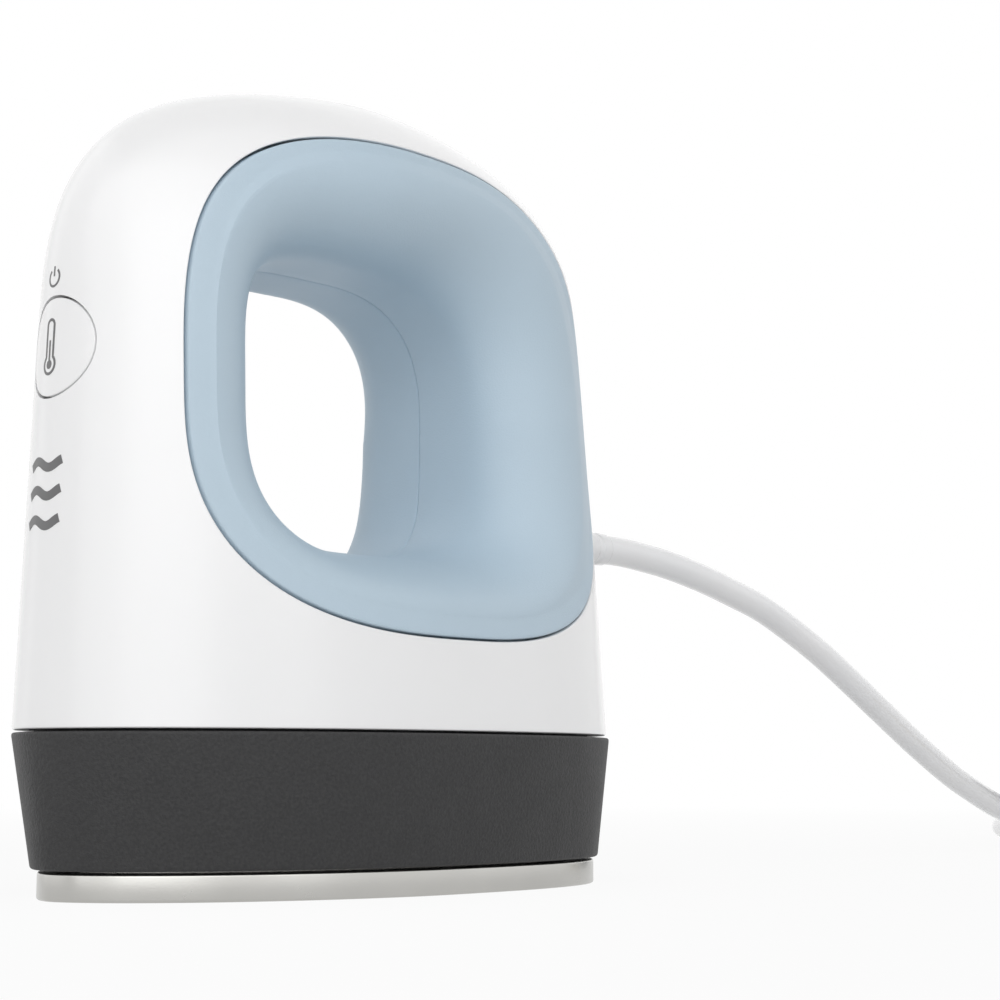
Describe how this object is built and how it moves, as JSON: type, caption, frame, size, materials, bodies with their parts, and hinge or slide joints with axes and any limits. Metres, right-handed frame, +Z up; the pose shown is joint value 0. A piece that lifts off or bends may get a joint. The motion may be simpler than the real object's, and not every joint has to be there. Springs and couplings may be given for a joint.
{
  "type": "mini heat press",
  "caption": "Hand-held mini heat press: egg-shaped housing with a flared grip opening over a flat heat plate, with a front button and a mains cord at the rear.",
  "frame": {"origin": "on the sole of the heat plate, under the middle of the housing", "axes": "+Z up, -Y to the front with the button, +Y to the rear with the cord, X through the grip opening"},
  "size_m": [0.0821, 0.3167, 0.1045],
  "materials": {
    "white_gloss": "glossy",
    "liner_blue": "matte, soft to the touch",
    "skirt_plastic": "matte, fine-grained",
    "plate_metal": "satin coated",
    "element_steel": "dull",
    "mica": "matte fibre board",
    "chassis_nylon": "matte",
    "brass": "satin",
    "bright_metal": "satin",
    "board_green": "satin",
    "can_sleeve": "satin",
    "film_yellow": "satin",
    "black_plastic": "matte",
    "terminal_grey": "matte",
    "plunger_red": "matte",
    "lamp_white": "glossy",
    "clear_plastic": "clear",
    "lead_brown": "satin",
    "lead_blue": "satin",
    "lead_white": "satin",
    "cord_white": "smooth",
    "tie_black": "matte",
    "screw_steel": "plated"
  },
  "bodies": {
    "press_body": {"housing_shell": "white_gloss", "right_grip_liner": "liner_blue", "left_grip_liner": "liner_blue", "base_skirt": "skirt_plastic", "heat_plate": "plate_metal", "heating_element": "element_steel", "insulation_pad": "mica", "chassis": "chassis_nylon", "control_bracket": "chassis_nylon", "cord_bracket": "chassis_nylon", "cord_clamp": "chassis_nylon", "temperature_sensor": "brass", "plug_blade_1": "brass", "plug_blade_2": "brass", "thermal_fuse": "bright_metal", "fuse_clip": "bright_metal", "heat_sink": "bright_metal", "main_board": "board_green", "button_board": "board_green", "film_capacitor": "film_yellow", "supply_capacitor": "can_sleeve", "triac": "black_plastic", "switch_body": "black_plastic", "terminal_block": "terminal_grey", "cable_connector": "lead_white", "control_cable": "lead_white", "live_lead": "lead_brown", "neutral_lead": "lead_blue", "status_lamp_1": "lamp_white", "status_lamp_2": "lamp_white", "status_lamp_3": "lamp_white", "light_guide": "clear_plastic", "strain_relief": "cord_white", "power_cord": "cord_white", "cord_coil": "cord_white", "plug_body": "cord_white", "coil_tie": "tie_black", "plate_screw_1": "screw_steel", "plate_screw_2": "screw_steel", "plate_screw_3": "screw_steel", "plate_screw_4": "screw_steel", "chassis_screw_1": "screw_steel", "chassis_screw_2": "screw_steel", "chassis_screw_3": "screw_steel", "board_screw_1": "screw_steel", "board_screw_2": "screw_steel", "board_screw_3": "screw_steel", "control_screw_1": "screw_steel", "control_screw_2": "screw_steel", "bracket_screw_1": "screw_steel", "bracket_screw_2": "screw_steel", "post_screw_1": "screw_steel", "post_screw_2": "screw_steel", "clamp_screw_1": "screw_steel", "clamp_screw_2": "screw_steel", "sensor_screw": "screw_steel", "fuse_screw": "screw_steel"},
    "button": {"button_cap": "white_gloss"},
    "plunger": {"switch_plunger": "plunger_red"}
  },
  "joints": [
    {"name": "button_press", "type": "slide", "parent": "press_body", "child": "button", "axis": [0, 1, 0], "range_m": [0, 0.0006], "stiffness_N_per_m": 2500},
    {"name": "plunger_press", "type": "slide", "parent": "press_body", "child": "plunger", "axis": [0, 1, 0], "range_m": [0, 0.0006]}
  ],
  "couplings": [
    {"joint": "plunger_press", "follows": "button_press", "ratio": 1}
  ]
}
